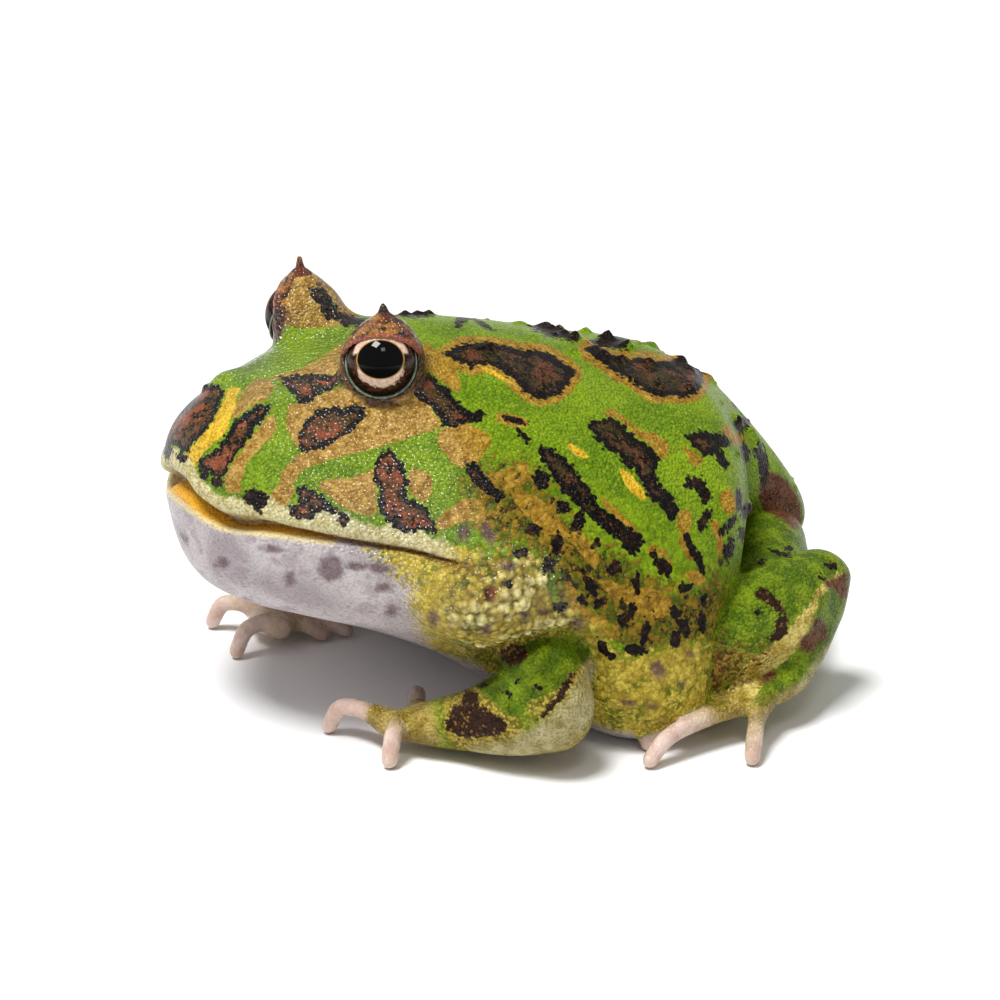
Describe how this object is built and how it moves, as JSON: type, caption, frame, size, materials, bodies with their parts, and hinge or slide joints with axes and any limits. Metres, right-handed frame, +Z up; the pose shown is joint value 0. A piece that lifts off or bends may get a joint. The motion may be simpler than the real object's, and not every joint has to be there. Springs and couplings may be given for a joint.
{
  "type": "horned frog",
  "caption": "Cranwell's horned frog, life-size, sitting at rest with its belly, hands and feet on the floor, broad head, wide mouth and a soft horn over each eye",
  "frame": {"origin": "on the floor under the middle of the bounding box", "axes": "the frog faces -Y, its left side is +X, +Z is up"},
  "size_m": [0.0992, 0.0976, 0.0584],
  "materials": {
    "back_skin": "wet, granular skin: leaf green with gold-tan and black-edged red-brown blotches",
    "throat_skin": "soft moist skin, lilac-white with purple spots",
    "hand_skin": "moist skin, olive to red-brown with dark patches",
    "digit_skin": "moist glossy skin, pinkish beige",
    "horn_skin": "soft skin, orange-brown with dark streaks",
    "eye": "wet and glossy, black pupil in a pale pink-cream and brown iris"
  },
  "bodies": {
    "root": {"eye_left": "eye", "eye_right": "eye", "finger_1_left": "digit_skin", "finger_1_right": "digit_skin", "finger_2_left": "digit_skin", "finger_2_right": "digit_skin", "finger_3_left": "digit_skin", "finger_3_right": "digit_skin", "finger_4_left": "digit_skin", "finger_4_right": "digit_skin", "foot_left": "hand_skin", "foot_right": "hand_skin", "forearm_left": "back_skin", "forearm_right": "back_skin", "hand_left": "hand_skin", "hand_right": "hand_skin", "head": "back_skin", "horn_left": "horn_skin", "horn_right": "horn_skin", "lower_jaw": "throat_skin", "shank_left": "back_skin", "shank_right": "back_skin", "thigh_left": "back_skin", "thigh_right": "back_skin", "toe_1_left": "digit_skin", "toe_1_right": "digit_skin", "toe_2_left": "digit_skin", "toe_2_right": "digit_skin", "toe_3_left": "digit_skin", "toe_3_right": "digit_skin", "toe_4_left": "digit_skin", "toe_4_right": "digit_skin", "toe_5_left": "digit_skin", "toe_5_right": "digit_skin", "torso": "back_skin", "upper_arm_left": "back_skin", "upper_arm_right": "back_skin"}
  },
  "joints": []
}
